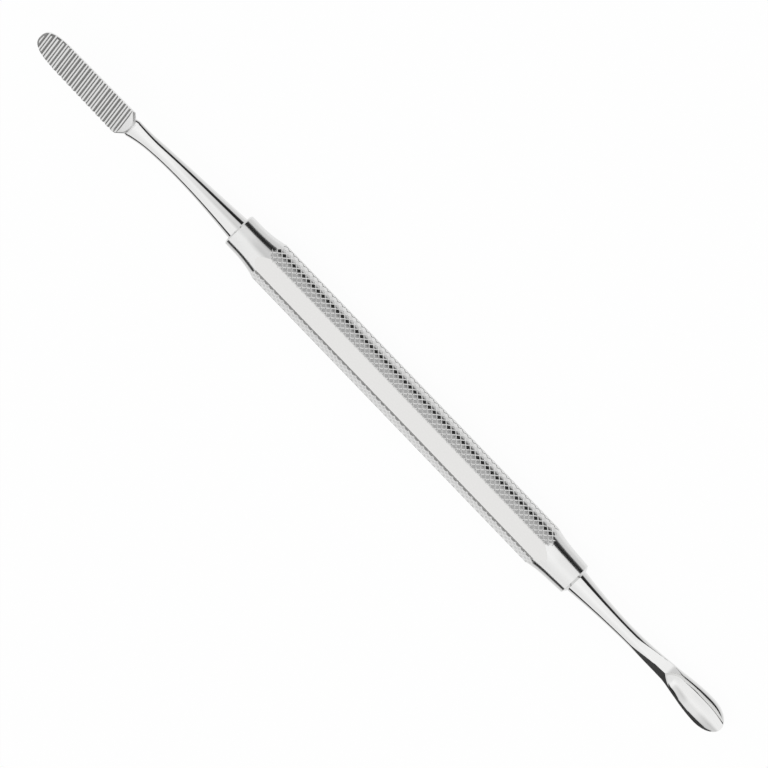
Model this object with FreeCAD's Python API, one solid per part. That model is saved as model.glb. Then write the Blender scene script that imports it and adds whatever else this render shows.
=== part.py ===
import FreeCAD, Part
import math
import os
from FreeCAD import Vector

# Bone file, double ended: an eight-sided handle with rounded, knurled sides and two
# plain flats, a toothed file blade on one end and a small hollowed spoon on the other.
# Millimetres. X runs along the instrument, the spoon points to +X, Z is up.
# It lies on its back flat, so Z = 0 is that flat and X = 0 is half way along.

# Whole instrument
overall_length = 178.0          # file tip to spoon tip, a seven inch instrument
file_reach = 50.4               # file tip to the collar it comes out of
spoon_reach = 38.0              # spoon tip to its own collar

# Handle bar, over the tops of the knurl
handle_thickness = 7.76         # between the plain flats, front and back
handle_width = 8.80             # across the rounded sides
flat_width = 3.80
side_radius = 3.50              # the slanting shoulders run tangent into the sides

# Turned necks at its two ends
file_collar_radius = 3.54
file_collar_chamfer = 0.35
file_neck_length = 2.4          # next to the collar face
file_neck_rise = 0.0            # how much thicker it is at its far end
file_flare_radius = 22.0        # hollow flare from there up into the bar
spoon_collar_radius = 3.42
spoon_collar_chamfer = 0.80
spoon_neck_length = 4.5
spoon_neck_rise = 0.24
spoon_flare_radius = 26.0
turning_clearance = 0.20        # how far the turned flare runs out past the bar

# Tangs, brazed into blind sockets in the handle
tang_diameter = 3.0
tang_length = 15.0

# Shank of the file end
file_root_diameter = 4.85       # where it leaves the collar
file_waist_diameter = 2.95
file_waist_from_root = 19.5
file_heel_width = 3.90          # where it runs into the blade
file_heel_depth = 2.30
file_flare_length = 5.2         # widening just behind the blade
file_flare_power = 2.0          # how late it widens
file_tongue_length = 5.0        # what runs on under the blade's back
file_heel_lift = 3.30           # centre line above the handle's own at the heel
file_lift_power = 3.3           # how late the shank sweeps up

# File blade
blade_length = 23.9             # tip to the foot of the heel bevel
blade_heel_width = 5.60
blade_nose_width = 5.30         # where the rounded nose starts
blade_nose_length = 7.0
blade_nose_power = 2.8          # 2 is an ellipse, more is blunter
blade_neck_width = 3.00         # the blade's own width at the foot of the heel
blade_corner = 1.30             # length of the slanting corners there
blade_heel_bulge = 0.45         # how far the heel rounds out beyond them
blade_thickness = 1.60
blade_side = 0.95               # upright part of the side, below it the back rounds
blade_back_rise = 0.30          # the back thins towards the tip
blade_face_lift = 5.00          # toothed face above the handle's centre line
heel_bevel_length = 0.80        # slight slope behind the last tooth
heel_bevel_drop = 0.25
heel_step_length = 0.50         # then a steeper one down onto the shank
heel_step_drop = 0.50
tip_bevel = 0.35                # along the top edge of the nose

# Teeth, one row to each groove
tooth_pitch = 1.29
tooth_rows = 17
tooth_depth = 0.42
tooth_first = 1.08              # tip to the first groove, on the centre line
tooth_slant = 7.5               # degrees off square
tooth_gullet = 0.30             # floor of the groove
tooth_face_run = 0.28           # steep cutting face
tooth_land = 0.32               # crest left between face and back

# Spoon end
spoon_root_diameter = 4.80
spoon_waist_diameter = 2.98
spoon_waist_from_root = 14.0
shank_taper = 1.7               # how soon both shanks slim down from the collar
spoon_neck_from_tip = 14.3
spoon_neck_width = 3.70
spoon_neck_depth = 3.20
spoon_neck_drop = 1.55          # the neck dips below the handle's centre line
spoon_dip_power = 3.0           # how late the shank dips
spoon_swell_power = 2.0         # how late it thickens towards the neck
spoon_neck_ridge = 1.60         # 2 is round, less is ground to a ridge on top
bowl_width = 5.85
bowl_depth = 3.80
bowl_squareness = 2.6           # 2 is an ellipse, more is squarer
bowl_widest_from_tip = 4.70
bowl_swell_power = 1.3          # how late the bowl widens
tip_drop = 0.60

# Hollow of the spoon: rounded start, widening throat, even middle, rising end
hollow_start_from_tip = 14.8
hollow_start_length = 2.3
throat_radius = 2.43
throat_floor_drop = 1.95        # its floor there, below the centre line
hollow_full_from_tip = 7.8      # where it has widened to its full radius
hollow_radius = 3.45
hollow_floor_drop = 1.80
hollow_rise_from_tip = 5.3
hollow_rise = 1.27              # how much higher the floor is at the tip
hollow_overrun = 1.0            # how far the cutting shape runs out past the tip

# How closely the curved bodies are divided
ring_points = 12                # points round each shank section
file_shank_steps = 22
tongue_steps = 4
blade_nose_steps = 10
spoon_steps = 36
spoon_nose_steps = 8
hollow_steps = 6                # in each of its four stretches


# Values that follow from the sizes above
axis_height = handle_thickness / 2
file_tip_x = -overall_length / 2
spoon_tip_x = overall_length / 2
file_collar_x = file_tip_x + file_reach
spoon_collar_x = spoon_tip_x - spoon_reach
tang_radius = tang_diameter / 2


def ease(t):
    """Smooth step from 0 to 1."""
    t = min(max(t, 0.0), 1.0)
    return t * t * (3 - 2 * t)


def mix(a, b, t):
    return a + (b - a) * t


def round_section(x, half_width, half_depth, z, power=2.0):
    """Closed outline across the instrument at x, from round to squarish."""
    points = []
    for i in range(ring_points):
        angle = 2 * math.pi * i / ring_points
        c, s = math.cos(angle), math.sin(angle)
        y = half_width * math.copysign(abs(c) ** (2 / power), c)
        up = half_depth * math.copysign(abs(s) ** (2 / power), s)
        points.append(Vector(x, y, z + up))
    places = [i / ring_points for i in range(ring_points + 1)]
    curve = Part.BSplineCurve()
    curve.interpolate(Points=points, PeriodicFlag=True, Parameters=places)
    return Part.Wire(curve.toShape())


def loft(sections):
    """Body through closely spaced sections, straight from each to the next."""
    return Part.makeLoft(sections, True, True)


def prism(points, along):
    """Solid swept from a flat outline."""
    wire = Part.makePolygon(points + [points[0]])
    return Part.Face(wire).extrude(along)


def tang(collar_x, direction):
    """Round tang from the collar face into the handle."""
    return Part.makeCylinder(tang_radius, tang_length, Vector(collar_x, 0, axis_height),
                             Vector(direction, 0, 0))


# Handle

def bar_outline():
    """Cross-section of the bar: plain flats, slanting shoulders, round sides."""
    centre = handle_width / 2 - side_radius
    half = flat_width / 2
    to_corner = math.hypot(half - centre, axis_height)
    slant = math.atan2(half - centre, axis_height) + math.acos(side_radius / to_corner)
    touch_y = centre + side_radius * math.sin(slant)
    touch_z = side_radius * math.cos(slant)

    def at(y, z):
        return Vector(file_collar_x, y, axis_height + z)

    edges = []
    for side in (1, -1):
        for up in (1, -1):
            edges.append(Part.makeLine(at(side * half, up * axis_height),
                                       at(side * touch_y, up * touch_z)))
        edges.append(Part.Arc(at(side * touch_y, touch_z), at(side * handle_width / 2, 0),
                              at(side * touch_y, -touch_z)).toShape())
    for up in (1, -1):
        edges.append(Part.makeLine(at(-half, up * axis_height), at(half, up * axis_height)))
    return Part.Face(Part.Wire(Part.__sortEdges__(edges)))


def neck_edges(face_x, inward, radius, chamfer, length, rise, flare_radius):
    """Turned profile from the collar face to where the flare clears the bar."""
    outside = handle_width / 2 + turning_clearance

    def at(along, r):
        return Vector(face_x + inward * along, 0, axis_height + r)

    slope = math.atan2(rise, length - chamfer)
    start = radius + rise
    centre_x = length - flare_radius * math.sin(slope)
    centre_r = start + flare_radius * math.cos(slope)
    end_angle = math.acos((centre_r - outside) / flare_radius)
    end_x = centre_x + flare_radius * math.sin(end_angle)
    middle = (slope + end_angle) / 2
    return [
        Part.makeLine(at(0, 0), at(0, radius - chamfer)),
        Part.makeLine(at(0, radius - chamfer), at(chamfer, radius)),
        Part.makeLine(at(chamfer, radius), at(length, start)),
        Part.Arc(at(length, start),
                 at(centre_x + flare_radius * math.sin(middle),
                    centre_r - flare_radius * math.cos(middle)),
                 at(end_x, outside)).toShape(),
    ], at(end_x, outside)


def make_handle():
    left, left_top = neck_edges(file_collar_x, 1, file_collar_radius, file_collar_chamfer,
                                file_neck_length, file_neck_rise, file_flare_radius)
    right, right_top = neck_edges(spoon_collar_x, -1, spoon_collar_radius, spoon_collar_chamfer,
                                  spoon_neck_length, spoon_neck_rise, spoon_flare_radius)
    start = Vector(file_collar_x, 0, axis_height)
    end = Vector(spoon_collar_x, 0, axis_height)
    edges = left + right + [Part.makeLine(left_top, right_top), Part.makeLine(start, end)]
    turned = Part.Face(Part.Wire(Part.__sortEdges__(edges))).revolve(start, Vector(1, 0, 0), 360)
    bar = bar_outline().extrude(end - start).common(turned)
    bar = bar.cut(tang(file_collar_x, 1))
    bar = bar.cut(tang(spoon_collar_x, -1))
    return bar


# File end

def file_shank_section(s):
    """Section of the file shank at a distance s from its collar."""
    length = file_reach - blade_length
    if s < file_waist_from_root:
        left = (1 - s / file_waist_from_root) ** shank_taper
        width = mix(file_waist_diameter, file_root_diameter, left)
    else:
        flare = max(0.0, (s - length + file_flare_length) / file_flare_length)
        width = mix(file_waist_diameter, file_heel_width, flare ** file_flare_power)
    depth = width
    if s > file_waist_from_root:
        t = (s - file_waist_from_root) / (length - file_waist_from_root)
        depth = mix(file_waist_diameter, file_heel_depth, ease(t))
    lift = file_heel_lift * (s / length) ** file_lift_power
    return round_section(file_collar_x - s, width / 2, depth / 2, axis_height + lift)


def make_file_shank():
    length = file_reach - blade_length
    sections = [file_shank_section(length * i / file_shank_steps)
                for i in range(file_shank_steps + 1)]
    # the shank runs on as a tongue that levels out and dies away inside the blade
    inside = blade_face_lift - blade_thickness / 2
    for i in range(1, tongue_steps + 1):
        t = i / tongue_steps
        width = mix(file_heel_width, file_heel_width / 2, t)
        depth = mix(file_heel_depth, blade_thickness / 2, t)
        lift = mix(file_heel_lift, inside, 1 - (1 - t) ** 2)
        x = file_collar_x - length - file_tongue_length * t
        sections.append(round_section(x, width / 2, depth / 2, axis_height + lift))
    return loft(sections)


def blade_plan(z, tip_inset, heel_inset):
    """Outline of the blade seen from above, at height z."""
    heel_x = file_tip_x + blade_length - heel_inset - blade_heel_bulge
    nose_x = file_tip_x + blade_nose_length
    heel, nose = blade_heel_width / 2, blade_nose_width / 2
    neck = blade_neck_width / 2

    points = []
    for i in range(-blade_nose_steps, blade_nose_steps + 1):
        angle = math.pi / 2 * i / blade_nose_steps
        c, s = math.cos(angle), math.sin(angle)
        along = abs(c) ** (2 / blade_nose_power)
        out = nose - tip_inset * ease(along)
        points.append(Vector(nose_x - (blade_nose_length - tip_inset) * along,
                             out * math.copysign(abs(s) ** (2 / blade_nose_power), s), z))
    curve = Part.BSplineCurve()
    curve.interpolate(points)
    high = [points[-1], Vector(heel_x - blade_corner, heel, z), Vector(heel_x, neck, z)]
    low = [Vector(p.x, -p.y, z) for p in high]
    return Part.Wire([curve.toShape(), Part.makeLine(high[0], high[1]),
                      Part.makeLine(high[1], high[2]),
                      Part.Arc(high[2], Vector(heel_x + blade_heel_bulge, 0, z),
                               low[2]).toShape(),
                      Part.makeLine(low[2], low[1]), Part.makeLine(low[1], low[0])])


def make_blade():
    face_z = axis_height + blade_face_lift
    back_z = face_z - blade_thickness
    heel_x = file_tip_x + blade_length

    # upright sides, then the bevels: round the tip, and in two slopes down the heel
    foot_drop = heel_bevel_drop + heel_step_drop
    step_slope = heel_step_length / heel_step_drop
    levels = [(back_z, 0.0, 0.0), (face_z - foot_drop, 0.0, 0.0),
              (face_z - tip_bevel, 0.0, (foot_drop - tip_bevel) * step_slope),
              (face_z - heel_bevel_drop, tip_bevel - heel_bevel_drop, heel_step_length),
              (face_z, tip_bevel, heel_step_length + heel_bevel_length)]
    blank = loft([blade_plan(*level) for level in levels])

    # end view: flat face, short upright sides, rounded back that thins to the tip
    half = blade_heel_width / 2
    start = Vector(heel_x + blade_thickness, 0, 0)
    shoulder = face_z - blade_side
    top = face_z + blade_thickness
    edges = [Part.Arc(start + Vector(0, -half, shoulder), start + Vector(0, 0, back_z),
                      start + Vector(0, half, shoulder)).toShape(),
             Part.makeLine(start + Vector(0, half, shoulder), start + Vector(0, half, top)),
             Part.makeLine(start + Vector(0, half, top), start + Vector(0, -half, top)),
             Part.makeLine(start + Vector(0, -half, top), start + Vector(0, -half, shoulder))]
    end_view = Part.Face(Part.Wire(Part.__sortEdges__(edges)))
    end_solid = end_view.extrude(Vector(-blade_length - 2 * blade_thickness, 0, 0))
    thinning = math.degrees(math.atan(blade_back_rise / blade_length))
    end_solid.rotate(Vector(heel_x, 0, back_z), Vector(0, 1, 0), thinning)
    return blank.common(end_solid)


def tooth_grooves():
    """One slanting groove to each row, cut right across the face."""
    face_z = axis_height + blade_face_lift
    floor = face_z - tooth_depth
    back_run = tooth_pitch - tooth_gullet - tooth_face_run - tooth_land
    above = tooth_depth / 2
    across = blade_heel_width
    shift = 2 * across * math.tan(math.radians(tooth_slant))
    grooves = []
    for row in range(tooth_rows):
        x = file_tip_x + tooth_first + row * tooth_pitch
        left = x - tooth_gullet / 2
        right = x + tooth_gullet / 2
        lean = above / tooth_depth
        start = Vector(-shift / 2, across, 0)
        outline = [Vector(left, 0, floor), Vector(right, 0, floor),
                   Vector(right + tooth_face_run * (1 + lean), 0, face_z + above),
                   Vector(left - back_run * (1 + lean), 0, face_z + above)]
        grooves.append(prism([p + start for p in outline], Vector(shift, -2 * across, 0)))
    return grooves


def make_file_end():
    body = make_file_shank().fuse(make_blade())
    body = body.cut(tooth_grooves())
    body = body.fuse(tang(file_collar_x, 1))
    return body.removeSplitter()


# Spoon end

def spoon_section(s):
    """Section of the spoon end at a distance s from its collar."""
    neck = spoon_reach - spoon_neck_from_tip
    widest = spoon_reach - bowl_widest_from_tip
    power = 2.0
    if s < spoon_waist_from_root:
        left = (1 - s / spoon_waist_from_root) ** shank_taper
        width = depth = mix(spoon_waist_diameter, spoon_root_diameter, left)
    elif s < neck:
        t = (s - spoon_waist_from_root) / (neck - spoon_waist_from_root)
        width = mix(spoon_waist_diameter, spoon_neck_width, t ** spoon_swell_power)
        depth = mix(spoon_waist_diameter, spoon_neck_depth, t ** spoon_swell_power)
        power = mix(2.0, spoon_neck_ridge, ease(2 * t))
    else:
        t = (s - neck) / (widest - neck)
        swell = math.sin(math.pi / 2 * min(t, 1)) ** bowl_swell_power
        width = mix(spoon_neck_width, bowl_width, swell)
        depth = mix(spoon_neck_depth, bowl_depth, ease(t))
        power = mix(spoon_neck_ridge, bowl_squareness, ease(2 * t))
    if s < neck:
        drop = spoon_neck_drop * (s / neck) ** spoon_dip_power
    else:
        drop = mix(spoon_neck_drop, tip_drop, (s - neck) / (spoon_reach - neck))
    if s > widest:
        end = math.sqrt(1 - ((s - widest) / bowl_widest_from_tip) ** 2)
        width, depth = width * end, depth * end
    return round_section(spoon_collar_x + s, width / 2, depth / 2, axis_height - drop, power)


def make_spoon_body():
    widest = spoon_reach - bowl_widest_from_tip
    places = [widest * i / spoon_steps for i in range(spoon_steps)]
    for i in range(spoon_nose_steps):
        angle = math.pi / 2 * i / spoon_nose_steps
        places.append(widest + bowl_widest_from_tip * math.sin(angle))
    sections = [spoon_section(s) for s in places]
    tip = Part.Vertex(Vector(spoon_tip_x, 0, axis_height - tip_drop))
    return loft(sections + [tip])


def hollow_section(from_tip):
    """Radius of the hollow and height of its floor, at a distance from the tip."""
    throat = hollow_start_from_tip - hollow_start_length
    axis = throat_radius - throat_floor_drop
    if from_tip > throat:
        back = (from_tip - throat) / hollow_start_length
        radius = throat_radius * math.sqrt(1 - back ** 2)
        return radius, axis - radius
    if from_tip > hollow_full_from_tip:
        t = ease((throat - from_tip) / (throat - hollow_full_from_tip))
        return (mix(throat_radius, hollow_radius, t),
                -mix(throat_floor_drop, hollow_floor_drop, t))
    rise = hollow_rise * max(0.0, 1 - from_tip / hollow_rise_from_tip) ** 2
    return hollow_radius - rise, rise - hollow_floor_drop


def spoon_hollow():
    """What is ground out of the spoon, skinned over round sections."""
    throat = hollow_start_from_tip - hollow_start_length
    places = []
    for i in range(1, hollow_steps + 1):
        angle = math.pi / 2 * i / hollow_steps
        places.append(throat + hollow_start_length * math.cos(angle))
    ends = [throat, hollow_full_from_tip, hollow_rise_from_tip, -hollow_overrun]
    for a, b in zip(ends, ends[1:]):
        places += [mix(a, b, i / hollow_steps) for i in range(1, hollow_steps + 1)]
    sections = [Part.Vertex(Vector(spoon_tip_x - hollow_start_from_tip, 0,
                                   axis_height + throat_radius - throat_floor_drop))]
    for from_tip in places:
        radius, floor = hollow_section(from_tip)
        sections.append(round_section(spoon_tip_x - from_tip, radius, radius,
                                      axis_height + floor + radius))
    return loft(sections)


def make_spoon_end():
    body = make_spoon_body().cut(spoon_hollow())
    return body.fuse(tang(spoon_collar_x, -1)).removeSplitter()


os.makedirs("parts", exist_ok=True)
parts = {"handle": make_handle(), "file_end": make_file_end(), "spoon_end": make_spoon_end()}
for name, shape in parts.items():
    shape.exportStep("parts/%s.step" % name)
    print(name, "solids", len(shape.Solids), "valid", shape.isValid(),
          "volume %.1f mm3" % shape.Volume)
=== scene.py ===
# %% [markdown]
# # A bone file in polished steel
#
# The real tool has three pieces of stainless steel. A knurled handle carries a toothed
# file blade at one end and a small hollowed spoon at the other, each brazed into a
# blind hole. The lesson loads the CAD model as a fixed frame first, because it says
# where every piece goes.

# %% Load the frame
import math
import bmesh
import bpy
from mathutils import Matrix, Vector


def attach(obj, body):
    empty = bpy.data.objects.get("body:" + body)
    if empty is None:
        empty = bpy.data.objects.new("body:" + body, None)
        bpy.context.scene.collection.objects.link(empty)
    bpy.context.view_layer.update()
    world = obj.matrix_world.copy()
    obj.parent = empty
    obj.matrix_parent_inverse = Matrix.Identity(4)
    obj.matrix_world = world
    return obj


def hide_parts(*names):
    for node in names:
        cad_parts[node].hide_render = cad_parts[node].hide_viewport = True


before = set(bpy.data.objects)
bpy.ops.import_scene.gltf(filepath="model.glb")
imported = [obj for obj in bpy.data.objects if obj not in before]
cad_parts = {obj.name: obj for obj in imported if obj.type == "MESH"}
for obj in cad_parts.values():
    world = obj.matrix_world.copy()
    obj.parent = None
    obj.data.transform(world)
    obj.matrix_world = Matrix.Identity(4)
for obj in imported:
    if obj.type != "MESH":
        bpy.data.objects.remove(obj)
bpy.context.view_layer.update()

# %% [markdown]
# ## Sizes
#
# These are the CAD model's own sizes, in millimetres, written once. Blender works in
# metres, so lengths are multiplied by `mm` where a mesh is made. The instrument lies
# on its back flat: X runs along it, the spoon points to +X, Z is up, and -Y is the
# near side.

# %% Sizes shared by the pieces
mm = 0.001
overall_length = 178.0
file_reach = 50.4
spoon_reach = 38.0
handle_thickness = 7.76
handle_width = 8.80
flat_width = 3.80
side_radius = 3.50
tang_radius = 1.5
tang_length = 15.0

axis_height = handle_thickness / 2
file_tip = -overall_length / 2
spoon_tip = overall_length / 2
file_collar = file_tip + file_reach
spoon_collar = spoon_tip - spoon_reach


def mix(a, b, t):
    """From a to b, as t goes from 0 to 1."""
    return a + (b - a) * t


def ease(t):
    """Smooth step from 0 to 1."""
    t = min(max(t, 0.0), 1.0)
    return t * t * (3 - 2 * t)


print("collars at", round(file_collar, 2), "and", round(spoon_collar, 2), "mm")

# %% [markdown]
# ## Camera
#
# A product photograph of a long thin tool is taken from far away with a long lens, so
# that both ends look the same size. The camera stands almost straight above the tool,
# leans 20 degrees towards its far side, and is turned so that the tool lies across the
# picture's diagonal. Building the camera's matrix from its own right, up and back
# directions avoids all guessing with rotation angles.

# %% Camera
lean = math.radians(20.0)
turn = math.radians(46.13)
distance = 2.5
frame_width = 0.1409
aim_along, aim_down = 0.495, 0.42       # how far off the tool's middle it looks, in mm

back = Vector((0, math.sin(lean), math.cos(lean)))
across = Vector((0, math.cos(lean), -math.sin(lean)))
along = Vector((1, 0, 0))
right = math.cos(turn) * along + math.sin(turn) * across
up = -math.sin(turn) * along + math.cos(turn) * across
aim = Vector((aim_along * mm, 0, axis_height * mm)) - across * aim_down * mm

lens = bpy.data.cameras.new("long lens")
lens.sensor_width = 36.0
lens.lens = lens.sensor_width * distance / frame_width
lens.clip_start, lens.clip_end = 0.05, 10.0
camera = bpy.data.objects.new("camera", lens)
turned = Matrix((right, up, back)).transposed().to_4x4()
camera.matrix_world = Matrix.Translation(aim + back * distance) @ turned
bpy.context.scene.collection.objects.link(camera)
bpy.context.scene.camera = camera
bpy.context.scene.view_settings.view_transform = "Standard"
print("lens", round(lens.lens), "mm")

# %% [markdown]
# ## Studio light
#
# Polished steel has no colour of its own: it shows the room. Photographers lay a tool
# like this inside a white tent and leave dark gaps low down, and those gaps are the
# crisp black lines that make the metal look round. The same tent is made here as the
# world. A ramp over the angle round the tool's long axis gives the white cloth and the
# gaps. The cloth is not equally bright towards the file and towards the spoon, so each
# side has a ramp of its own, with a smooth change between them, and the two ends of the
# tent are closed with one plain cloth.

# %% Helpers for shader nodes
def put(tree, kind, **settings):
    """A new node with its properties set."""
    node = tree.nodes.new(kind)
    for name, value in settings.items():
        setattr(node, name, value)
    return node


def feed(tree, socket, value):
    """Links a socket into an input, or sets the input to a number."""
    if isinstance(value, bpy.types.NodeSocket):
        tree.links.new(value, socket)
    else:
        socket.default_value = value


def calc(tree, operation, *values):
    """A Math node on numbers or sockets, and its output."""
    node = put(tree, "ShaderNodeMath", operation=operation)
    for socket, value in zip(node.inputs, values):
        feed(tree, socket, value)
    return node.outputs[0]


def blend(tree, share, first, second):
    """One value from two, by the share of the second."""
    node = put(tree, "ShaderNodeMix", data_type="FLOAT")
    for place, value in ((0, share), (2, first), (3, second)):
        feed(tree, node.inputs[place], value)
    return node.outputs[0]


def rise_between(tree, value, low, high):
    """0 below low, 1 above high and a smooth step between them."""
    node = put(tree, "ShaderNodeMapRange", interpolation_type="SMOOTHSTEP")
    for label, number in (("Value", value), ("From Min", low), ("From Max", high)):
        feed(tree, node.inputs[label], number)
    return node.outputs["Result"]


def ramp(tree, factor, stops):
    """A Color Ramp of greys, given as (place, brightness)."""
    node = put(tree, "ShaderNodeValToRGB")
    bar = node.color_ramp
    bar.elements[0].position, bar.elements[1].position = stops[0][0], stops[-1][0]
    for place, _ in stops[1:-1]:
        bar.elements.new(place)
    for element, (_, grey) in zip(bar.elements, stops):
        element.color = (grey, grey, grey, 1)
    tree.links.new(factor, node.inputs["Fac"])
    return node.outputs["Color"]


print("shader helpers ready")

# %% World
gap = 0.02                              # brightness of the dark gaps
tent_to_file = [(-180, gap), (-78, gap), (-76, 1.03), (0, 1.03), (26, 0.70), (50, 0.76),
                (66, 0.66), (69, gap), (180, gap)]
tent_to_spoon = [(-180, gap), (-78, gap), (-76, 1.0), (-50, 0.94), (-20, 1.02), (10, 1.12),
                 (66, 1.05), (69, gap), (180, gap)]
end_cloth = 0.95
sides_meet_within = 0.35                # of a unit direction, each way along X
end_from, end_full = 0.60, 0.80

world = bpy.data.worlds.new("light tent")
bpy.context.scene.world = world
world.use_nodes = True
sky = world.node_tree
sky.nodes.clear()
direction = put(sky, "ShaderNodeSeparateXYZ")
feed(sky, direction.inputs[0], put(sky, "ShaderNodeTexCoord").outputs["Generated"])
ahead, sideways, upward = direction.outputs
angle = calc(sky, "ARCTAN2", sideways, upward)
share_of_turn = calc(sky, "MULTIPLY_ADD", angle, 0.5 / math.pi, 0.5)
file_side, spoon_side = [ramp(sky, share_of_turn, [((d + 180) / 360, g) for d, g in stops])
                         for stops in (tent_to_file, tent_to_spoon)]
to_spoon = rise_between(sky, ahead, -sides_meet_within, sides_meet_within)
cloth = blend(sky, to_spoon, file_side, spoon_side)
to_an_end = rise_between(sky, calc(sky, "ABSOLUTE", ahead), end_from, end_full)
tent = blend(sky, to_an_end, cloth, end_cloth)
behind = put(sky, "ShaderNodeLightPath").outputs["Is Camera Ray"]
glow = put(sky, "ShaderNodeBackground")
glow.inputs["Color"].default_value = (1, 1, 1, 1)
feed(sky, glow.inputs["Strength"], calc(sky, "MAXIMUM", tent, behind))
feed(sky, put(sky, "ShaderNodeOutputWorld").inputs[0], glow.outputs[0])
print("tent ramps:", len(tent_to_file), "and", len(tent_to_spoon), "stops")

# %% [markdown]
# ## Floor
#
# The tool lies on a plain white table. To the camera the table is nearly as bright as
# paper, and keeps only a faint contact shadow. To the steel the table is mostly a glow
# with a painted reflection on it: by the angle it is seen at, it is painted white straight
# below, greyer further out and black at a grazing angle, in place of the table's far edge
# mirroring the tent's low gap. That painted black edge makes the second dark line along
# every round part. A strip right under the tool is painted light grey, so it never goes
# black.

# %% Floor
floor_half = 3.0
floor_mesh = bpy.data.meshes.new("table")
floor_mesh.from_pydata([(-floor_half, -floor_half, 0), (floor_half, -floor_half, 0),
                        (floor_half, floor_half, 0), (-floor_half, floor_half, 0)],
                       [], [(0, 1, 2, 3)])
table = bpy.data.objects.new("table", floor_mesh)
bpy.context.scene.collection.objects.link(table)
print("table", 2 * floor_half, "m square")

# %% White laminate, glowing with a painted reflection
# the camera sees an even white glow, and the steel sees a glow with a painted reflection
own_glow = {"Is Camera Ray": 0.95, "Is Glossy Ray": 0.85}
# painted light: a strip this wide each way under the tool stays light grey in what the steel
# sees
strip_half, strip_painted_light = 0.012, 0.76
paper = bpy.data.materials.new("white table")
paper.use_nodes = True
floor_tree = paper.node_tree
floor_tree.nodes.clear()
laminate = put(floor_tree, "ShaderNodeBsdfPrincipled")
laminate.inputs["Base Color"].default_value = (0.9, 0.9, 0.9, 1)
laminate.inputs["Roughness"].default_value = 0.08
laminate.inputs["IOR"].default_value = 1.7

facing = put(floor_tree, "ShaderNodeLayerWeight").outputs["Facing"]
# painted reflection: by the angle the steel sees it at, white below, grey further out, black
# at a grazing angle
grey = ramp(floor_tree, facing, [(0.0, 1.0), (0.15, 1.0), (0.4, 0.80), (0.78, 0.76),
                                 (0.81, gap), (1.0, gap)])
spot = put(floor_tree, "ShaderNodeSeparateXYZ")
feed(floor_tree, spot.inputs[0], put(floor_tree, "ShaderNodeTexCoord").outputs["Object"])
off_middle = calc(floor_tree, "ABSOLUTE", spot.outputs["Y"])
# painted light: inside the strip under the tool the painted reflection stays at least light
# grey
in_painted_strip = calc(floor_tree, "LESS_THAN", off_middle, strip_half)
level = calc(floor_tree, "MAXIMUM", grey, calc(floor_tree, "MULTIPLY", in_painted_strip, strip_painted_light))
rays = put(floor_tree, "ShaderNodeLightPath").outputs
bright = put(floor_tree, "ShaderNodeEmission")
feed(floor_tree, bright.inputs["Color"],
     calc(floor_tree, "MAXIMUM", level, rays["Is Camera Ray"]))

shares = [calc(floor_tree, "MULTIPLY", rays[kind], share) for kind, share in own_glow.items()]
shown = put(floor_tree, "ShaderNodeMixShader")
for socket, source in zip(shown.inputs, (calc(floor_tree, "ADD", *shares),
                                         laminate.outputs[0], bright.outputs[0])):
    feed(floor_tree, socket, source)
feed(floor_tree, put(floor_tree, "ShaderNodeOutputMaterial").inputs[0], shown.outputs[0])
floor_mesh.materials.append(paper)
print("table's nodes:", len(floor_tree.nodes))

# %% [markdown]
# ## Effects that the steels share
#
# Two effects appear on every piece, so each is a node group, made once. Polishing lines
# are fine, nearly parallel scratches that a felt wheel leaves along the tool: noise,
# stretched along X, that changes the roughness a little and feeds a bump. Handling
# marks are broad, faint patches where the polish is a touch duller.

# %% Node groups
def new_group(name, inputs, outputs):
    """A shader node group with float inputs and outputs."""
    group = bpy.data.node_groups.new(name, "ShaderNodeTree")
    for label, value in inputs.items():
        socket = group.interface.new_socket(label, in_out="INPUT",
                                            socket_type="NodeSocketFloat")
        socket.default_value = value
    for label in outputs:
        group.interface.new_socket(label, in_out="OUTPUT", socket_type="NodeSocketFloat")
    return group, put(group, "NodeGroupInput"), put(group, "NodeGroupOutput")


def stretched_noise(tree, scale, stretch, fineness):
    """Noise on Object coordinates, drawn out along X by the given factor."""
    where = put(tree, "ShaderNodeTexCoord")
    shape = put(tree, "ShaderNodeMapping")
    shape.inputs["Scale"].default_value = (1 / stretch, 1, 1)
    noise = put(tree, "ShaderNodeTexNoise")
    noise.inputs["Detail"].default_value = fineness
    tree.links.new(where.outputs["Object"], shape.inputs["Vector"])
    tree.links.new(shape.outputs["Vector"], noise.inputs["Vector"])
    tree.links.new(scale, noise.inputs["Scale"])
    return noise.outputs["Fac"]


lines, lines_in, lines_out = new_group(
    "polishing lines",
    {"Lines per metre": 9000.0, "Depth": 0.5, "Base roughness": 0.1,
     "Roughness change": 0.05},
    ["Roughness", "Height"])
scratch = stretched_noise(lines, lines_in.outputs["Lines per metre"],
                          stretch=60.0, fineness=2.0)
centred = calc(lines, "SUBTRACT", scratch, 0.5)
change = calc(lines, "MULTIPLY", centred, lines_in.outputs["Roughness change"])
rough = calc(lines, "ADD", lines_in.outputs["Base roughness"], change)
lines.links.new(rough, lines_out.inputs["Roughness"])
lines.links.new(calc(lines, "MULTIPLY", scratch, lines_in.outputs["Depth"]),
                lines_out.inputs["Height"])

marks, marks_in, marks_out = new_group(
    "handling marks", {"Patches per metre": 260.0, "Strength": 0.05}, ["Dulling"])
marks_from = 0.45                       # noise below this leaves the polish as it is
patch = stretched_noise(marks, marks_in.outputs["Patches per metre"],
                        stretch=3.0, fineness=3.0)
raised = calc(marks, "SUBTRACT", patch, marks_from)
kept = calc(marks, "MAXIMUM", raised, 0.0)
marks.links.new(calc(marks, "MULTIPLY", kept, marks_in.outputs["Strength"]),
                marks_out.inputs["Dulling"])
print("groups:", [g.name for g in bpy.data.node_groups])

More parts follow.
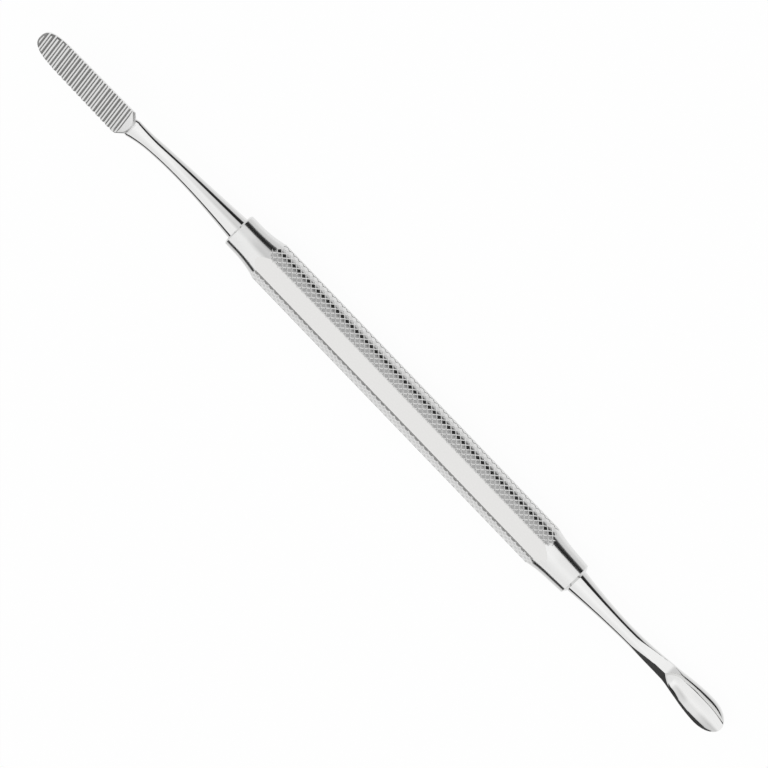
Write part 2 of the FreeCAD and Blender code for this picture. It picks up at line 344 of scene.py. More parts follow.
# %% [markdown]
# ## The steels
#
# One recipe gives every finish: a metallic Principled shader whose roughness comes from
# the two groups. Mirror polish has shallow lines and low roughness, and the knurled bar
# is nearly as bright. The flats are satin and very even. The blade is as the grinding
# wheel left it, with the same lines cut deeper. The flanks between its teeth are dull,
# because no wheel or brush polishes them, and their dark colour is painted shade that
# stands for the shadow between the teeth.

# %% Steel materials
scratch_depth = 0.00001                 # metres, at full bump strength


def steel(name, colour, roughness, change, line_count, bump, marks_strength):
    """A stainless steel with the given polish."""
    material = bpy.data.materials.new(name)
    material.use_nodes = True
    tree = material.node_tree
    shader = tree.nodes["Principled BSDF"]
    shader.inputs["Metallic"].default_value = 1.0
    shader.inputs["Base Color"].default_value = (*colour, 1)
    fine = put(tree, "ShaderNodeGroup", node_tree=lines)
    fine.inputs["Lines per metre"].default_value = line_count
    fine.inputs["Base roughness"].default_value = roughness
    fine.inputs["Roughness change"].default_value = change
    worn = put(tree, "ShaderNodeGroup", node_tree=marks)
    worn.inputs["Strength"].default_value = marks_strength
    tree.links.new(calc(tree, "ADD", fine.outputs["Roughness"], worn.outputs["Dulling"]),
                   shader.inputs["Roughness"])
    relief = put(tree, "ShaderNodeBump")
    relief.inputs["Strength"].default_value = bump
    relief.inputs["Distance"].default_value = scratch_depth
    tree.links.new(fine.outputs["Height"], relief.inputs["Height"])
    tree.links.new(relief.outputs["Normal"], shader.inputs["Normal"])
    return material


mirror_steel = steel("mirror polished steel", (0.81, 0.81, 0.805), roughness=0.07,
                     change=0.03, line_count=7000, bump=0.25, marks_strength=0.05)
satin_steel = steel("satin steel of the flats", (0.77, 0.765, 0.755), roughness=0.24,
                    change=0.02, line_count=9000, bump=0.05, marks_strength=0.015)
knurl_steel = steel("knurled steel", (0.79, 0.79, 0.785), roughness=0.15,
                    change=0.04, line_count=7000, bump=0.25, marks_strength=0.06)
ground_steel = steel("ground steel of the blade", (0.72, 0.72, 0.715), roughness=0.26,
                     change=0.14, line_count=5000, bump=0.8, marks_strength=0.1)
# the tooth flanks are rough, and their dark colour is painted shade between the teeth
flank_steel_painted_dark = steel("dull steel of the tooth flanks, painted dark as shade", (0.38, 0.38, 0.375), roughness=0.50,
                    change=0.2, line_count=5000, bump=0.8, marks_strength=0.2)
print("steels:", [m.name for m in (mirror_steel, satin_steel, knurl_steel, ground_steel,
                                   flank_steel_painted_dark)])

# %% [markdown]
# ## Helpers for solid pieces
#
# A turned piece is a profile spun round its axis, a milled one is a flat outline pushed
# through, and the rest are cut from each other. Boolean modifiers do the cutting, as a
# mill would. Every tool mesh is closed, with its faces pointing out, which the Manifold
# solver needs.

# %% Mesh helpers
ring_count = 96
pin_sides = 48


def new_piece(name, mesh_data):
    """Turns a bmesh into an object with its faces pointing outwards."""
    bmesh.ops.recalc_face_normals(mesh_data, faces=mesh_data.faces)
    mesh = bpy.data.meshes.new(name)
    mesh_data.to_mesh(mesh)
    mesh_data.free()
    piece = bpy.data.objects.new(name, mesh)
    bpy.context.scene.collection.objects.link(piece)
    return piece


def skin(name, rings):
    """A closed solid over rings of points, in millimetres, capped at both ends."""
    build = bmesh.new()
    rows = [[build.verts.new(Vector(p) * mm) for p in points] for points in rings]
    count = len(rings[0])
    for a, b in zip(rows, rows[1:]):
        for i in range(count):
            j = (i + 1) % count
            build.faces.new((a[i], a[j], b[j], b[i]))
    build.faces.new(rows[0])
    build.faces.new(rows[-1])
    return new_piece(name, build)


def ring(x, half_width, half_depth, z, power=2.0, count=ring_count):
    """Points round a section at x, an ellipse at power 2 and squarish above it."""
    points = []
    for i in range(count):
        angle = 2 * math.pi * i / count
        c, s = math.cos(angle), math.sin(angle)
        points.append((x, half_width * math.copysign(abs(c) ** (2 / power), c),
                       z + half_depth * math.copysign(abs(s) ** (2 / power), s)))
    return points


def lathe(name, profile, segments=144):
    """A solid turned about the instrument's axis from (place, radius) pairs."""
    return skin(name, [ring(x, radius, radius, axis_height, count=segments)
                       for x, radius in profile])


def prism(name, outline, push):
    """A flat outline of points, in millimetres, pushed along a vector."""
    push = Vector(push)
    return skin(name, [outline, [Vector(p) + push for p in outline]])


def pin(name, collar, inward, overlap):
    """The round bar of a tang or its hole, reaching a little out of the collar."""
    return lathe(name, [(collar - inward * overlap, tang_radius),
                        (collar + inward * tang_length, tang_radius)], pin_sides)


print("mesh helpers ready")

# %% Cutting and finishing
def bake(piece):
    """Makes the piece's modifiers part of its mesh."""
    graph = bpy.context.evaluated_depsgraph_get()
    mesh = bpy.data.meshes.new_from_object(piece.evaluated_get(graph))
    piece.modifiers.clear()
    piece.data = mesh


def cut(piece, tool, how="DIFFERENCE"):
    """Cuts, joins or crosses the piece with a tool, which is used up."""
    step = piece.modifiers.new("cut", "BOOLEAN")
    step.operation = how
    step.solver = "MANIFOLD"
    step.object = tool
    bake(piece)
    bpy.data.objects.remove(tool)


def smooth(piece, angle):
    """Smooth shading, with edges sharper than the angle, in degrees, kept crisp."""
    piece.data.shade_smooth()
    piece.data.set_sharp_from_angle(angle=math.radians(angle))


def finish_faces(piece, materials, choose):
    """Gives each face a material by number, as choose(face) says."""
    piece.data.materials.clear()
    for material in materials:
        piece.data.materials.append(material)
    for face in piece.data.polygons:
        face.material_index = choose(face)


def crisp_borders(piece):
    """Keeps the edges sharp where two finishes meet."""
    finishes = {}
    for face in piece.data.polygons:
        for key in face.edge_keys:
            finishes.setdefault(key, set()).add(face.material_index)
    for edge in piece.data.edges:
        if len(finishes[edge.key]) == 2:
            edge.use_edge_sharp = True


print("cutting and finishing ready")

# %% [markdown]
# ## Knurled bar
#
# A knurling wheel rolls a net of fine V-shaped grooves into the bar and leaves flat
# diamonds between them. One diamond is a small tile with its rim pressed down. Geometry
# Nodes set it out on a staggered lattice, and then roll the flat sheet round the bar's
# outline, which is a diamond shape with rounded sides. The two narrow corners of that
# outline are milled away later, and that leaves the plain flats.

# %% Node helpers
def node_tree(name, floats, whole_numbers):
    """A Geometry Nodes tree with named sizes, a material input and its output."""
    tree = bpy.data.node_groups.new(name, "GeometryNodeTree")
    for kind, sizes in (("NodeSocketFloat", floats), ("NodeSocketInt", whole_numbers)):
        for label, value in sizes.items():
            socket = tree.interface.new_socket(label, in_out="INPUT", socket_type=kind)
            socket.default_value = value
    tree.interface.new_socket("Steel", in_out="INPUT", socket_type="NodeSocketMaterial")
    tree.interface.new_socket("Geometry", in_out="OUTPUT", socket_type="NodeSocketGeometry")
    return tree, put(tree, "NodeGroupInput").outputs, put(tree, "NodeGroupOutput")


def fill(tree, node, **values):
    """Sets a node's inputs, by name with _ for a space, from numbers or sockets."""
    for name, value in values.items():
        feed(tree, node.inputs[name.replace("_", " ")], value)
    return node


def point(tree, x, y, z):
    """A vector from three numbers or sockets."""
    return fill(tree, put(tree, "ShaderNodeCombineXYZ"), X=x, Y=y, Z=z).outputs[0]


def parts_of(tree, vector):
    """The X, Y and Z of a vector."""
    return fill(tree, put(tree, "ShaderNodeSeparateXYZ"), Vector=vector).outputs


def move(tree, geometry, position):
    """Puts every point of a mesh at a new position."""
    node = put(tree, "GeometryNodeSetPosition")
    return fill(tree, node, Geometry=geometry, Position=position).outputs[0]


def enlarge(tree, geometry, scale):
    """Multiplies the position of every point by the scale."""
    position = put(tree, "GeometryNodeInputPosition").outputs[0]
    scaled = fill(tree, put(tree, "ShaderNodeVectorMath", operation="SCALE"),
                  Vector=position, Scale=scale)
    return move(tree, geometry, scaled.outputs[0])


def put_out(tree, geometry, material, output):
    """Gives a mesh its material and sends it to the tree's output."""
    dressed = fill(tree, put(tree, "GeometryNodeSetMaterial"), Geometry=geometry,
                   Material=material)
    tree.links.new(dressed.outputs[0], output.inputs[0])


def grow(name, tree, material):
    """An object whose mesh the tree makes from its named sizes, then baked."""
    piece = bpy.data.objects.new(name, bpy.data.meshes.new(name))
    bpy.context.scene.collection.objects.link(piece)
    nodes = piece.modifiers.new("nodes", "NODES")
    nodes.node_group = tree
    for socket in tree.interface.items_tree:
        if socket.name == "Steel":
            nodes[socket.identifier] = material
    bake(piece)
    return piece


print("node helpers ready")

# %% Sizes of the knurl
knurl_pitch = 1.28
past_collar = 2.0                       # the rod starts this far outside the handle
rod_start, rod_end = file_collar - past_collar, spoon_collar + past_collar
side_centre = handle_width / 2 - side_radius
half_flat = flat_width / 2
# a shoulder slants from the flat's edge to where it touches the rounded side
reach = math.hypot(half_flat - side_centre, axis_height)
slant = math.atan2(half_flat - side_centre, axis_height) + math.acos(side_radius / reach)

knurl, size, knurl_out = node_tree(
    "knurled bar",
    {"Pitch": knurl_pitch, "Groove share": 0.11, "Groove depth": 0.11,
     "Side corner": side_centre + side_radius / math.sin(slant),
     "Flat corner": (side_radius + side_centre * math.sin(slant)) / math.cos(slant),
     "Side radius": side_radius, "Corner radius": 1.0, "Row shift": 0.16,
     "Twist": 0.002, "Start": rod_start, "Axis height": axis_height, "Scale": mm},
    {"Columns": int((rod_end - rod_start) / (knurl_pitch / 2)), "Rows round": 23})
print("shoulders slant by", round(math.degrees(slant), 1), "degrees")

# %% [markdown]
# The tile is a 4 by 4 grid. Its inner lines move out to the groove's edge, and its rim
# goes down to the groove's floor.

# %% Diamond tile
inner_line, rim_from = 0.25, 0.49       # from the middle of a tile that is 1 wide
grid = fill(knurl, put(knurl, "GeometryNodeMeshGrid"),
            Size_X=1.0, Size_Y=1.0, Vertices_X=5, Vertices_Y=5)
where = parts_of(knurl, put(knurl, "GeometryNodeInputPosition").outputs[0])
edge = calc(knurl, "SUBTRACT", 0.5, size["Groove share"])
spread = []
for axis in ("X", "Y"):
    size_of = calc(knurl, "ABSOLUTE", where[axis])
    inner = calc(knurl, "MULTIPLY", size_of, calc(knurl, "DIVIDE", edge, inner_line))
    past = calc(knurl, "SUBTRACT", size_of, inner_line)
    outer = calc(knurl, "MULTIPLY_ADD", past,
                 calc(knurl, "DIVIDE", size["Groove share"], inner_line), edge)
    spread.append(calc(knurl, "MULTIPLY", calc(knurl, "SIGN", where[axis]),
                       calc(knurl, "MINIMUM", inner, outer)))
a, b = spread
rim = calc(knurl, "GREATER_THAN", calc(knurl, "MAXIMUM", calc(knurl, "ABSOLUTE", a),
                                       calc(knurl, "ABSOLUTE", b)), rim_from)
low = calc(knurl, "MULTIPLY", calc(knurl, "MULTIPLY", rim, size["Groove depth"]), -1.0)
print("tile nodes:", len(knurl.nodes))

# %% Outline of the bar, a diamond with rounded corners
off_centre = 0.1                        # only the two side corners lie further out in X
minus_side = calc(knurl, "MULTIPLY", size["Side corner"], -1.0)
minus_flat = calc(knurl, "MULTIPLY", size["Flat corner"], -1.0)
corners = {"Point_1": point(knurl, size["Side corner"], 0.0, 0.0),
           "Point_2": point(knurl, 0.0, size["Flat corner"], 0.0),
           "Point_3": point(knurl, minus_side, 0.0, 0.0),
           "Point_4": point(knurl, 0.0, minus_flat, 0.0)}
diamond = fill(knurl, put(knurl, "GeometryNodeCurvePrimitiveQuadrilateral", mode="POINTS"),
               **corners)
on_side = calc(knurl, "GREATER_THAN", calc(knurl, "ABSOLUTE", where["X"]),
               off_centre)
wider = calc(knurl, "SUBTRACT", size["Side radius"], size["Corner radius"])
radius = calc(knurl, "MULTIPLY_ADD", on_side, wider, size["Corner radius"])
outline = fill(knurl, put(knurl, "GeometryNodeFilletCurve", mode="POLY"),
               Curve=diamond.outputs[0], Radius=radius, Count=60).outputs[0]
around = fill(knurl, put(knurl, "GeometryNodeCurveLength"), Curve=outline).outputs[0]
row = calc(knurl, "DIVIDE", around, size["Rows round"])
half_row = calc(knurl, "MULTIPLY", row, 0.5)
half_pitch = calc(knurl, "MULTIPLY", size["Pitch"], 0.5)
print("with the outline:", len(knurl.nodes))

# %% Lattice, every second point of a grid in a chessboard order
tile_x = calc(knurl, "MULTIPLY", calc(knurl, "ADD", a, b), half_pitch)
tile_y = calc(knurl, "MULTIPLY", calc(knurl, "SUBTRACT", a, b), half_row)
tile = move(knurl, grid.outputs["Mesh"], point(knurl, tile_x, tile_y, low))
rows = calc(knurl, "MULTIPLY", size["Rows round"], 2.0)
lattice = fill(knurl, put(knurl, "GeometryNodeMeshGrid"), Size_X=1.0, Size_Y=1.0,
               Vertices_X=size["Columns"], Vertices_Y=rows)
order = put(knurl, "GeometryNodeInputIndex").outputs[0]
# half a point is added so that rounding never lands in the column before
column = calc(knurl, "FLOOR", calc(knurl, "DIVIDE", calc(knurl, "ADD", order, 0.5), rows))
line = calc(knurl, "SUBTRACT", order, calc(knurl, "MULTIPLY", column, rows))
odd = calc(knurl, "MODULO", calc(knurl, "ADD", column, line), 2.0)
spot_x = calc(knurl, "MULTIPLY_ADD", column, half_pitch, size["Start"])
spots = move(knurl, lattice.outputs["Mesh"],
             point(knurl, spot_x, calc(knurl, "MULTIPLY", line, half_row), 0.0))
set_out = fill(knurl, put(knurl, "GeometryNodeInstanceOnPoints"), Points=spots,
               Selection=calc(knurl, "LESS_THAN", odd, 0.5), Instance=tile).outputs[0]
sheet = fill(knurl, put(knurl, "GeometryNodeRealizeInstances"), Geometry=set_out).outputs[0]
print("with the lattice:", len(knurl.nodes))

# %% Roll the sheet round the outline, grooves pointing inwards
weld_within = 0.02
turned_by = calc(knurl, "MULTIPLY_ADD", where["X"], size["Twist"], where["Y"])
shifted = calc(knurl, "MULTIPLY_ADD", size["Row shift"], row, turned_by)
length_round = calc(knurl, "WRAP", shifted, around, 0.0)
sample = fill(knurl, put(knurl, "GeometryNodeSampleCurve", mode="LENGTH"),
              Curves=outline, Length=length_round)
on_line = parts_of(knurl, sample.outputs["Position"])
forward = parts_of(knurl, sample.outputs["Tangent"])
rolled_y = calc(knurl, "MULTIPLY_ADD", forward["Y"], where["Z"], on_line["X"])
inward = calc(knurl, "MULTIPLY", where["Z"], -1.0)
rolled_z = calc(knurl, "MULTIPLY_ADD", forward["X"], inward, on_line["Y"])
raised_z = calc(knurl, "ADD", rolled_z, size["Axis height"])
rolled = move(knurl, sheet, point(knurl, where["X"], rolled_y, raised_z))
seamless = fill(knurl, put(knurl, "GeometryNodeMergeByDistance"),
                Geometry=enlarge(knurl, rolled, size["Scale"]), Distance=weld_within * mm)
put_out(knurl, seamless.outputs[0], size["Steel"], knurl_out)
print("knurl tree:", len(knurl.nodes), "nodes")

# %% Knurled rod
handle = grow("handle_body", knurl, knurl_steel)
print("rolled sheet faces", len(handle.data.polygons))

# %% Close the rod's two ends, each with a fan to its middle
build = bmesh.new()
build.from_mesh(handle.data)
ends = {}
for border in [e for e in build.edges if e.is_boundary]:
    middle_x = (border.verts[0].co.x + border.verts[1].co.x) / 2
    ends.setdefault(middle_x > 0, []).append(border)
for is_far, borders in ends.items():
    places = [v.co.x for e in borders for v in e.verts]
    tip_x = max(places) if is_far else min(places)
    hub = build.verts.new((tip_x, 0, axis_height * mm))
    for border in borders:
        build.faces.new((*border.verts, hub))
bmesh.ops.recalc_face_normals(build, faces=build.faces)
print("rod faces", len(build.faces), "open edges",
      sum(not e.is_manifold for e in build.edges))
build.to_mesh(handle.data)
build.free()

# %% [markdown]
# ## Turned necks and milled flats
#
# The rod becomes the handle on two machines. A lathe turns the collar, the neck and a
# hollow flare at each end, which runs out through the knurl and leaves its last grooves
# fading away. A mill then takes the front and back flats, whose long edges are buffed to
# a narrow slope, the near ones more than the far ones. Here each cut keeps what is
# common to the rod and a closed solid of the machined shape.

# %% Turned shape of the handle
necks = {"file": dict(face=file_collar, inward=1, radius=3.54, chamfer=0.30, bevel=0.42,
                      length=2.4, rise=0.0, flare=22.0),
         "spoon": dict(face=spoon_collar, inward=-1, radius=3.42, chamfer=0.50, bevel=0.85,
                       length=4.5, rise=0.24, flare=26.0)}
clear_radius = handle_width / 2 + 1.6   # where the turned shape stops, clear of the rod
flare_steps = 20


def neck_profile(face, inward, radius, chamfer, bevel, length, rise, flare):
    """(place, radius) pairs from the collar face, over its bevel and up the flare."""
    slope = math.atan2(rise, length - chamfer)
    start = radius + rise
    centre_x = length - flare * math.sin(slope)
    centre_r = start + flare * math.cos(slope)
    last = math.acos((centre_r - clear_radius) / flare)
    pairs = [(face, radius - bevel), (face + inward * chamfer, radius)]
    for i in range(flare_steps + 1):
        angle = mix(slope, last, i / flare_steps)
        pairs.append((face + inward * (centre_x + flare * math.sin(angle)),
                      centre_r - flare * math.cos(angle)))
    return pairs


turned_profile = neck_profile(**necks["file"]) + neck_profile(**necks["spoon"])[::-1]
blank = lathe("turned blank", turned_profile)
print("turned profile:", len(turned_profile), "points")

# %% Mill and drill the handle
near_in, far_in, edge_slope = 0.24, 0.06, math.tan(math.radians(30))
clearance = 1.0                         # how far a tool runs past what it cuts
wide = handle_width / 2 + 0.5           # clear of the handle's sides
near_drop = (wide - half_flat + near_in) * edge_slope
far_drop = (wide - half_flat + far_in) * edge_slope
slab = prism("flats", [(file_collar - clearance, y, z) for y, z in
                       ((near_in - half_flat, 0), (half_flat - far_in, 0), (wide, far_drop),
                        (wide, handle_thickness - far_drop),
                        (half_flat - far_in, handle_thickness),
                        (near_in - half_flat, handle_thickness),
                        (-wide, handle_thickness - near_drop), (-wide, near_drop))],
             (spoon_collar - file_collar + 2 * clearance, 0, 0))
cut(blank, slab, "INTERSECT")
cut(handle, blank, "INTERSECT")
for neck in necks.values():
    cut(handle, pin("socket", neck["face"], neck["inward"], clearance))
print("machined faces", len(handle.data.polygons))

# %% Finish the handle
level_within, slope_within = 0.001, 0.002


def on_flat(face):
    """1 for a flat or the buffed slope along its edge, 0 for the rest of the bar."""
    middle_z = face.center.z / mm
    upright = abs(face.normal.z)
    level = (min(abs(middle_z), abs(middle_z - handle_thickness)) < level_within
             and upright > 0.999)
    buffed = (abs(upright - 1 / math.hypot(1, edge_slope)) < slope_within
              and abs(face.normal.x) < slope_within)
    return 1 if level or buffed else 0


smooth(handle, 14)
finish_faces(handle, [knurl_steel, satin_steel], on_flat)
crisp_borders(handle)
print("handle faces", len(handle.data.polygons))

# %% [markdown]
# ## File end
#
# The shank is forged: its section changes smoothly from round at the collar to flat and
# wide under the blade, and its centre line sweeps up so that the blade clears the
# fingers. A shape that follows such a rule is best skinned over rings worked out from
# it. The blade is skinned the same way, over its outline at five heights: near the
# toothed face both ends are drawn in, and that gives their bevels. Crossing it with an
# end view then rounds its back and thins it a little towards the tip.

# %% Sizes of the file end
blade_length = 23.9
blade_thickness = 1.60
blade_face_lift = 5.00
waist_at = 19.5                         # from the collar
heel_lift = 3.30
heel_width, heel_depth = 3.90, 2.30
file_root, file_waist = 4.85, 2.95
shank_taper = 1.7                       # how quickly a shank thins out from its collar
widens_over = 5.2
sweep_power = 3.3
buried = 5.0                            # how far the shank runs on inside the blade
shank_length = file_reach - blade_length
shank_steps, buried_steps = 90, 8
print("file shank", round(shank_length, 2), "mm, then the blade")

# %% File shank
def file_ring(s):
    """Section of the file shank at a distance s from its collar."""
    if s < waist_at:
        width = mix(file_waist, file_root, (1 - s / waist_at) ** shank_taper)
    else:
        widened = max(0.0, (s - shank_length + widens_over) / widens_over)
        width = mix(file_waist, heel_width, widened ** 2)
    depth = width
    if s > waist_at:
        flattened = ease((s - waist_at) / (shank_length - waist_at))
        depth = mix(file_waist, heel_depth, flattened)
    lift = heel_lift * (s / shank_length) ** sweep_power
    return ring(file_collar - s, width / 2, depth / 2, axis_height + lift)


rings = [file_ring(shank_length * i / shank_steps) for i in range(shank_steps + 1)]
for i in range(1, buried_steps + 1):
    t = i / buried_steps
    lift = mix(heel_lift, blade_face_lift - blade_thickness / 2, 1 - (1 - t) ** 2)
    rings.append(ring(file_collar - shank_length - buried * t,
                      mix(heel_width, heel_width / 2, t) / 2,
                      mix(heel_depth, blade_thickness / 2, t) / 2, axis_height + lift))
file_end = skin("file_blade", rings)
print("shank rings", len(rings))

# %% File blade
face_z = axis_height + blade_face_lift
back_z = face_z - blade_thickness
heel_x = file_tip + blade_length
nose_length = 7.0
nose_x = file_tip + nose_length
heel_half, nose_half, neck_half = 5.60 / 2, 5.30 / 2, 3.00 / 2
heel_corner, heel_bulge = 1.30, 0.45
nose_power = 2.8
nose_steps, heel_steps = 32, 16
tip_bevel = 0.35
edge_depth = 0.75                       # the sides are straight from there down


def blade_plan(z, tip_inset, heel_inset):
    """Outline of the blade from above at height z, its two ends drawn in."""
    outline = []
    for i in range(-nose_steps, nose_steps + 1):
        angle = math.pi / 2 * i / nose_steps
        c, s = math.cos(angle), math.sin(angle)
        along = abs(c) ** (2 / nose_power)
        out = nose_half - tip_inset * ease(along)
        outline.append((nose_x - (nose_length - tip_inset) * along,
                        out * math.copysign(abs(s) ** (2 / nose_power), s), z))
    end = heel_x - heel_inset
    outline.append((end - heel_bulge - heel_corner, heel_half, z))
    radius = (neck_half ** 2 + heel_bulge ** 2) / (2 * heel_bulge)
    half_turn = math.asin(neck_half / radius)
    for i in range(heel_steps + 1):
        angle = mix(half_turn, -half_turn, i / heel_steps)
        outline.append((end - radius * (1 - math.cos(angle)), radius * math.sin(angle), z))
    return outline + [(end - heel_bulge - heel_corner, -heel_half, z)]


# depth below the face, and how far the tip and the heel are drawn in there
levels = ((blade_thickness, 0, 0), (edge_depth, 0, 0), (tip_bevel, 0, 0.40),
          (0.25, 0.10, 0.50), (0, tip_bevel, 1.30))
blade = skin("blade", [blade_plan(face_z - depth, *insets) for depth, *insets in levels])
print("blade levels", len(levels))

# %% Round the blade's back and join it to the shank
side_depth, tip_thinning = 0.95, 0.30
back_steps = 32
drop = face_z - side_depth - back_z
arc_radius = (heel_half ** 2 + drop ** 2) / (2 * drop)
half_angle = math.asin(heel_half / arc_radius)
end_view = [(-heel_half, face_z + clearance), (heel_half, face_z + clearance)]
for i in range(back_steps + 1):
    angle = mix(half_angle, -half_angle, i / back_steps)
    end_view.append((arc_radius * math.sin(angle),
                     back_z + arc_radius * (1 - math.cos(angle))))
under = prism("end view", [(blade_thickness, y, z - back_z) for y, z in end_view],
              (-blade_length - 2 * blade_thickness, 0, 0))
thinning = math.atan(tip_thinning / blade_length)
under.data.transform(Matrix.Translation((heel_x * mm, 0, back_z * mm))
                     @ Matrix.Rotation(thinning, 4, "Y"))
cut(blade, under, "INTERSECT")
cut(file_end, blade, "UNION")
print("blade and shank faces", len(file_end.data.polygons))

# %% [markdown]
# ## Teeth
#
# Each tooth is what stands between two slanting grooves: a steep cutting face, a narrow
# land and a long sloping back. Seventeen grooves follow one rule, so one closed groove
# is shaped from a cube and Geometry Nodes set it out along the blade. A grinder never
# lands every cut in exactly the same place, and a small seeded variation in place and
# depth gives that. The steel between the grooves is then cut away in one go.

# %% Shape of one groove
teeth, size, teeth_out = node_tree(
    "tooth grooves",
    {"First": file_tip + 1.08, "Pitch": 1.29, "Depth": 0.42, "Gullet": 0.30,
     "Face run": 0.28, "Back run": 0.39, "Above": 0.06, "Half width": 3.4,
     "Slant": math.tan(math.radians(7.5)), "Face height": face_z, "Wander": 0.035,
     "Depth wander": 0.03, "Scale": mm},
    {"Rows": 17, "Seed": 4})

block = fill(teeth, put(teeth, "GeometryNodeMeshCube"), Size=(2.0, 2.0, 2.0))
where = parts_of(teeth, put(teeth, "GeometryNodeInputPosition").outputs[0])
is_top = calc(teeth, "GREATER_THAN", where["Z"], 0.0)
is_front = calc(teeth, "GREATER_THAN", where["X"], 0.0)
is_back = calc(teeth, "SUBTRACT", 1.0, is_front)
reach_up = calc(teeth, "ADD", calc(teeth, "DIVIDE", size["Above"], size["Depth"]), 1.0)
face_run = calc(teeth, "MULTIPLY", size["Face run"], reach_up)
front_run = calc(teeth, "MULTIPLY", is_front, face_run)
slope_run = calc(teeth, "MULTIPLY", size["Back run"], reach_up)
back_run = calc(teeth, "MULTIPLY", is_back, slope_run)
flank = calc(teeth, "MULTIPLY", is_top, calc(teeth, "SUBTRACT", front_run, back_run))
floor_x = calc(teeth, "MULTIPLY", where["X"], calc(teeth, "MULTIPLY", size["Gullet"], 0.5))
groove_y = calc(teeth, "MULTIPLY", where["Y"], size["Half width"])
slanted = calc(teeth, "MULTIPLY", groove_y, calc(teeth, "MULTIPLY", size["Slant"], -1.0))
groove_x = calc(teeth, "ADD", calc(teeth, "ADD", floor_x, flank), slanted)
full_height = calc(teeth, "ADD", size["Above"], size["Depth"])
groove_z = calc(teeth, "SUBTRACT", calc(teeth, "MULTIPLY", is_top, full_height),
                size["Depth"])
groove = move(teeth, block.outputs["Mesh"], point(teeth, groove_x, groove_y, groove_z))
print("nodes for one groove:", len(teeth.nodes))

# %% Set the grooves out in rows, each a little off its place
row_line = fill(teeth, put(teeth, "GeometryNodeMeshLine", mode="OFFSET"), Count=size["Rows"],
                Start_Location=point(teeth, size["First"], 0.0, size["Face height"]),
                Offset=point(teeth, size["Pitch"], 0.0, 0.0))
wander = []
for offset, amount in ((0.0, size["Wander"]), (9.0, size["Depth wander"])):
    chance = put(teeth, "FunctionNodeRandomValue", data_type="FLOAT")
    teeth.links.new(calc(teeth, "ADD", size["Seed"], offset), chance.inputs["Seed"])
    spread_out = calc(teeth, "MULTIPLY", calc(teeth, "SUBTRACT", chance.outputs[1], 0.5), 2.0)
    wander.append(calc(teeth, "MULTIPLY", spread_out, amount))
here = parts_of(teeth, put(teeth, "GeometryNodeInputPosition").outputs[0])
uneven = move(teeth, row_line.outputs[0],
              point(teeth, calc(teeth, "ADD", here["X"], wander[0]), here["Y"],
                    calc(teeth, "ADD", here["Z"], wander[1])))
set_out = fill(teeth, put(teeth, "GeometryNodeInstanceOnPoints"), Points=uneven,
               Instance=groove).outputs[0]
real = fill(teeth, put(teeth, "GeometryNodeRealizeInstances"), Geometry=set_out).outputs[0]
put_out(teeth, enlarge(teeth, real, size["Scale"]), size["Steel"], teeth_out)
print("teeth tree:", len(teeth.nodes), "nodes")

# %% Cut the teeth
ground_depth = 0.77                     # the wheel reaches this far below the face
plain_heel = 1.4                        # the last stretch has no dull flanks painted dark as shade
top_from, flank_below = 0.2, 0.9        # of the upward part of a face's normal
slack = 0.01
tang_overlap = 0.5


def on_teeth(face):
    """0 polished, 1 ground, 2 the dull flanks of the teeth and the nose's bevel, painted dark
    as shade.
    """
    middle, up = face.center / mm, face.normal.z
    if middle.x > heel_x + slack or middle.z < face_z - ground_depth or up < top_from:
        return 0
    return 2 if middle.x < heel_x - plain_heel and up < flank_below else 1


grooves = grow("grooves", teeth, ground_steel)
cut(file_end, grooves)
cut(file_end, pin("tang", file_collar, 1, tang_overlap), "UNION")
smooth(file_end, 25)
finish_faces(file_end, [mirror_steel, ground_steel, flank_steel_painted_dark], on_teeth)
print("file end faces", len(file_end.data.polygons))

# %% [markdown]
# ## Spoon end
#
# The spoon starts as a forged drop shape: a round shank that dips, swells and ends in a
# rounded nose. The top of its neck is then ground to two slopes that meet in a ridge,
# and the near slope runs on as a land along the rim. A small ball-shaped stone hollows
# the upper side. It starts narrow, widens into the bowl and lifts towards the tip, so
# the hollow is skinned over round sections of its own. Where it meets the outside they
# leave the thin rim, and nothing has to be drawn by hand.

# %% Sizes of the spoon end
neck_from_tip = 14.3
widest_from_tip = 4.70
neck_at = spoon_reach - neck_from_tip
widest_at = spoon_reach - widest_from_tip
spoon_waist = 14.0                      # from the collar
root_width, waist_width = 4.80, 2.98
neck_width, neck_depth = 3.70, 3.20
bowl_width, bowl_depth = 5.85, 3.80
bowl_squareness = 2.6                   # of the underside; 2 is round
swell_power = 1.3
neck_drop, nose_drop = 1.55, 0.60
ground_slope = math.tan(math.radians(36))
ground_from, ground_over = 15.0, 7.5    # where the slopes start, and how long they grow
full_reach = 0.77                       # 1 only touches the round section
body_steps, tip_steps = 120, 40
print("neck at", round(neck_at, 2), "and widest at", round(widest_at, 2), "mm")

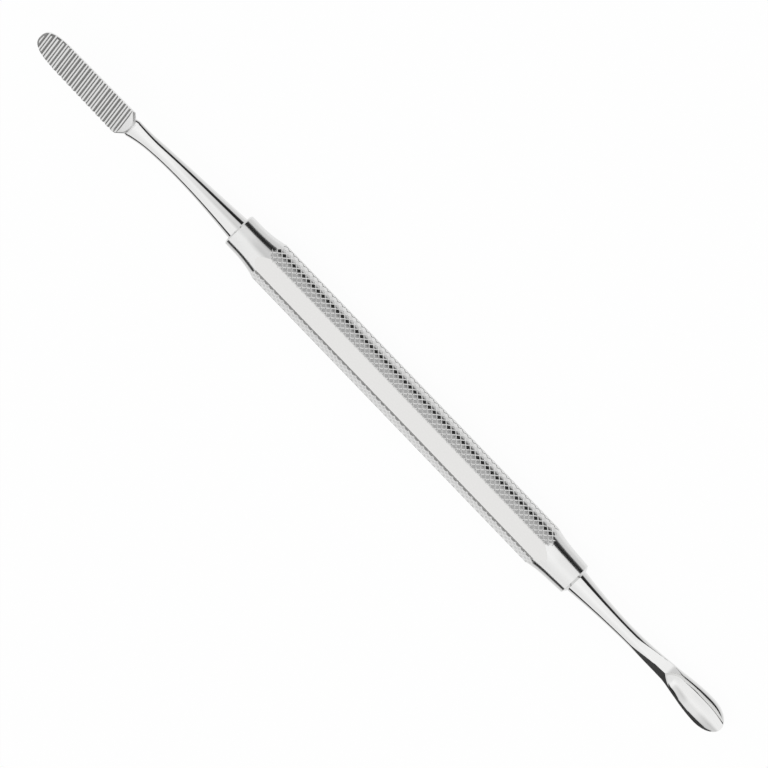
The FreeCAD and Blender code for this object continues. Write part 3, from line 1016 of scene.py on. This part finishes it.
# %% Spoon body
def spoon_ring(s):
    """Section of the spoon end at a distance s from its collar."""
    under, near, far = 2.0, 1.0, 1.0
    if s < spoon_waist:
        width = depth = mix(waist_width, root_width, (1 - s / spoon_waist) ** shank_taper)
    elif s < neck_at:
        t = (s - spoon_waist) / (neck_at - spoon_waist)
        width, depth = mix(waist_width, neck_width, t * t), mix(waist_width, neck_depth, t * t)
        near = far = mix(1.0, full_reach, ease((s - ground_from) / ground_over))
    else:
        t = (s - neck_at) / (widest_at - neck_at)
        swell = math.sin(math.pi / 2 * min(t, 1)) ** swell_power
        width, depth = mix(neck_width, bowl_width, swell), mix(neck_depth, bowl_depth, ease(t))
        under = mix(2.0, bowl_squareness, ease(2 * t))
        near, far = full_reach, mix(full_reach, 1.0, ease(3 * t))
    if s < neck_at:
        drop = neck_drop * (s / neck_at) ** 3
    else:
        drop = mix(neck_drop, nose_drop, (s - neck_at) / neck_from_tip)
    if s > widest_at:
        end = math.sqrt(max(0.0, 1 - ((s - widest_at) / widest_from_tip) ** 2))
        width, depth = width * end, depth * end
    x, z = spoon_collar + s, axis_height - drop
    below = ring(x, width / 2, depth / 2, z, under)
    above = ring(x, width / 2, depth / 2, z)
    half = ring_count // 2
    # the top is ground to two slopes, each as far in as near or far says
    just_touching = math.hypot(depth / 2, ground_slope * width / 2)
    top = []
    for x, y, up in above[:half]:
        reach_in = just_touching * (far if y > 0 else near)
        top.append((x, y, min(up, z + reach_in - ground_slope * abs(y))))
    return top + below[half:]


rings = [spoon_ring(widest_at * i / body_steps) for i in range(body_steps)]
rings += [spoon_ring(widest_at + widest_from_tip * math.sin(math.pi / 2 * i / tip_steps))
          for i in range(tip_steps)]
spoon_end = skin("spoon", rings)
print("spoon rings", len(rings))

# %% Hollow
hollow_start, throat, hollow_full = 14.8, 11.6, 7.8     # distances from the tip
throat_radius, throat_drop = 2.20, 1.70
hollow_radius, hollow_drop = 3.00, 1.30
rise_from, tip_rise = 5.3, 0.80
overrun = 1.0                           # how far the stone runs out past the tip
throat_steps, bowl_steps = 24, 72


def hollow_ring(from_tip):
    """Round section of the hollow at a distance from the spoon's tip."""
    if from_tip > throat:
        back = (from_tip - throat) / (hollow_start - throat)
        radius = throat_radius * (1 - back ** 2)
        centre = throat_radius - throat_drop
    else:
        t = ease((throat - from_tip) / (throat - hollow_full))
        rise = tip_rise * max(0.0, 1 - from_tip / rise_from) ** 2
        radius = mix(throat_radius, hollow_radius, t) - rise
        centre = radius + rise - mix(throat_drop, hollow_drop, t)
    return ring(spoon_tip - from_tip, radius, radius, axis_height + centre)


places = [throat + (hollow_start - throat) * math.cos(math.pi / 2 * i / throat_steps)
          for i in range(1, throat_steps)]
places += [mix(throat, -overrun, i / bowl_steps) for i in range(bowl_steps + 1)]
cut(spoon_end, skin("hollow", [hollow_ring(p) for p in places]))
cut(spoon_end, pin("tang", spoon_collar, -1, tang_overlap), "UNION")
print("hollow sections", len(places))

# %% Finish the spoon
start_slack, hollow_within = 0.05, 0.04


def in_hollow(face):
    """1 for a face of the hollow, 0 for the outside."""
    middle = face.center / mm
    from_tip = spoon_tip - middle.x
    if from_tip > hollow_start - start_slack:
        return 0
    _, radius, centre_z = hollow_ring(max(from_tip, -overrun))[0]
    off = math.hypot(middle.y, middle.z - centre_z) - radius
    return 1 if abs(off) < hollow_within and face.normal.z > 0 else 0


smooth(spoon_end, 30)
# the same polish inside and out, numbered apart so that the rim stays crisp
finish_faces(spoon_end, [mirror_steel, mirror_steel], in_hollow)
crisp_borders(spoon_end)
print("spoon faces", len(spoon_end.data.polygons))

# %% [markdown]
# ## Put the pieces in place
#
# Every piece rides on the one body, and the CAD node it takes the place of is hidden.

# %% Ride on the body and hide the CAD nodes
for piece, node, steel_slot in ((handle, "handle", "handle_steel"),
                                (file_end, "file_end", "file_steel"),
                                (spoon_end, "spoon_end", "spoon_steel")):
    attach(piece, "root")
    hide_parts(node)
